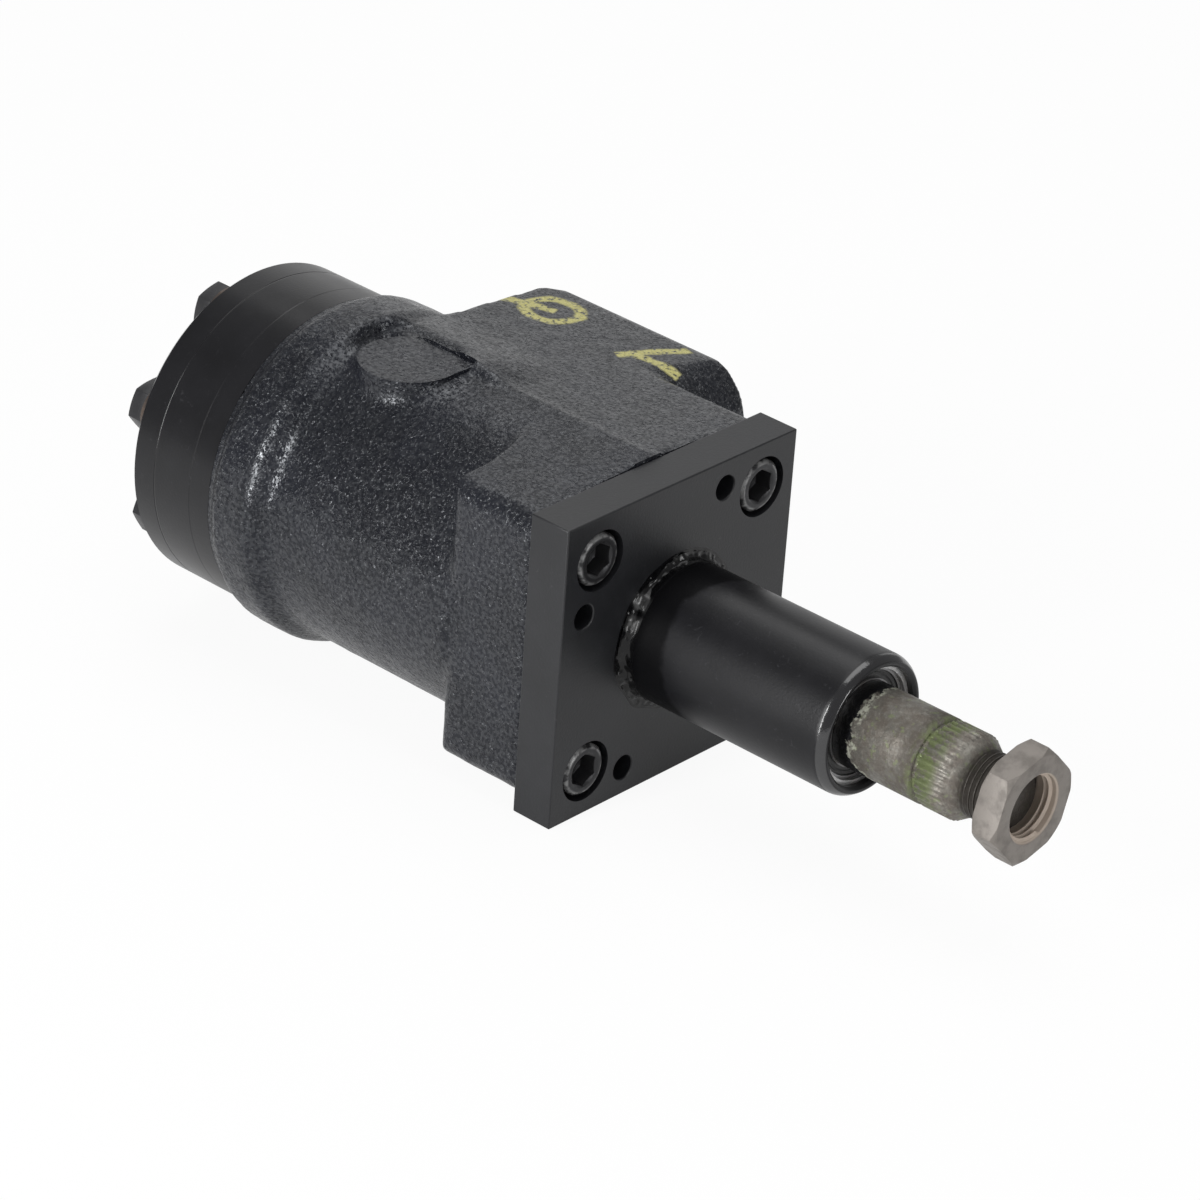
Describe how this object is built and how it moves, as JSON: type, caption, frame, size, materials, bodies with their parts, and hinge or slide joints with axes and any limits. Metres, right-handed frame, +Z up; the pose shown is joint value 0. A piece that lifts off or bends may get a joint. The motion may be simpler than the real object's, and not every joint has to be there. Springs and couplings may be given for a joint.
{
  "type": "power steering motor",
  "caption": "Hydraulic steering unit: black casting with a port block, gear set and bolted cap behind, square mounting plate, welded column tube and a serrated shaft with its wheel nut.",
  "frame": {"origin": "on the steering shaft's axis, at the front face of the mounting plate", "axes": "+X along the shaft towards its nut, +Y out of the port face, +Z up"},
  "size_m": [0.2759, 0.1115, 0.094],
  "materials": {
    "satin_black": "satin black paint over turned steel",
    "black_cast": "rough black painted iron casting",
    "black_plate": "semi-matt black paint over steel plate",
    "weld_black": "gloss black paint over a weld bead",
    "black_bolt": "black painted bolt heads",
    "copper_washer": "dulled sealing washers",
    "dark_steel": "dark oiled steel",
    "ground_steel": "hardened and ground steel, oiled",
    "bare_shaft": "bare steel, dulled and brownish",
    "bare_nut": "bare steel nut, warm grey",
    "brass": "pressed brass cage",
    "rubber": "black rubber",
    "ptfe": "white filled plastic"
  },
  "bodies": {
    "housing": {"end_cap": "satin_black", "end_cap_bolts": "black_bolt", "bolt_washers": "copper_washer", "end_cap_oring": "rubber", "gerotor_ring": "satin_black", "gear_ring_oring": "rubber", "spacer_plate": "satin_black", "housing_oring": "rubber", "valve_housing": "black_cast", "check_ball_seat": "ground_steel", "thrust_race_front": "ground_steel", "shaft_seal": "rubber", "seal_backup_ring": "ptfe", "dust_seal": "rubber", "mounting_plate": "black_plate", "plate_screws": "dark_steel", "column_tube": "satin_black", "weld_bead": "weld_black", "bearing_outer_ring": "dark_steel", "bearing_shields": "rubber", "bearing_snap_ring": "dark_steel"},
    "sleeve": {"valve_sleeve": "ground_steel", "cross_pin": "ground_steel", "pin_retaining_ring": "dark_steel", "centering_springs": "dark_steel", "thrust_race_rear": "ground_steel"},
    "spool": {"valve_spool": "ground_steel", "steering_shaft": "bare_shaft", "wheel_nut": "bare_nut", "bearing_inner_ring": "dark_steel"},
    "orbit": {"drive_spacer": "ground_steel"},
    "star": {"gerotor_star": "ground_steel"},
    "drive": {"drive_shaft": "ground_steel"},
    "column_bearing_set": {"bearing_balls": "ground_steel", "bearing_cage": "brass"},
    "thrust_set": {"thrust_needles": "ground_steel", "thrust_cage": "brass"},
    "check": {"check_ball": "ground_steel"}
  },
  "joints": [
    {"name": "meter_turn", "type": "hinge", "parent": "housing", "child": "sleeve", "pos_m": [0, 0, 0], "axis": [1, 0, 0], "continuous": true},
    {"name": "valve_deflection", "type": "hinge", "parent": "sleeve", "child": "spool", "pos_m": [0, 0, 0], "axis": [1, 0, 0], "range_deg": [-8, 8], "stiffness_Nm_per_rad": 10, "deforming": ["centering_springs"]},
    {"name": "orbit_turn", "type": "hinge", "parent": "housing", "child": "orbit", "pos_m": [0, 0, 0], "axis": [1, 0, 0], "continuous": true},
    {"name": "star_turn", "type": "hinge", "parent": "orbit", "child": "star", "pos_m": [-0.13725, 0.003, 0], "axis": [1, 0, 0], "continuous": true},
    {"name": "drive_turn", "type": "hinge", "parent": "orbit", "child": "drive", "pos_m": [-0.075, 0, 0], "axis": [0.9988, -0.0481, 0], "continuous": true},
    {"name": "column_bearing_turn", "type": "hinge", "parent": "housing", "child": "column_bearing_set", "pos_m": [0, 0, 0], "axis": [1, 0, 0], "continuous": true},
    {"name": "thrust_set_turn", "type": "hinge", "parent": "housing", "child": "thrust_set", "pos_m": [0, 0, 0], "axis": [1, 0, 0], "continuous": true},
    {"name": "check_ball_slide", "type": "slide", "parent": "housing", "child": "check", "axis": [0, -1, 0], "range_m": [0, 0.0025]}
  ],
  "couplings": [
    {"joint": "orbit_turn", "follows": "meter_turn", "ratio": -6},
    {"joint": "star_turn", "follows": "meter_turn", "ratio": 7},
    {"joint": "drive_turn", "follows": "meter_turn", "ratio": 7},
    {"joint": "column_bearing_turn", "follows": "meter_turn", "ratio": 0.4231},
    {"joint": "thrust_set_turn", "follows": "meter_turn", "ratio": 0.5}
  ]
}
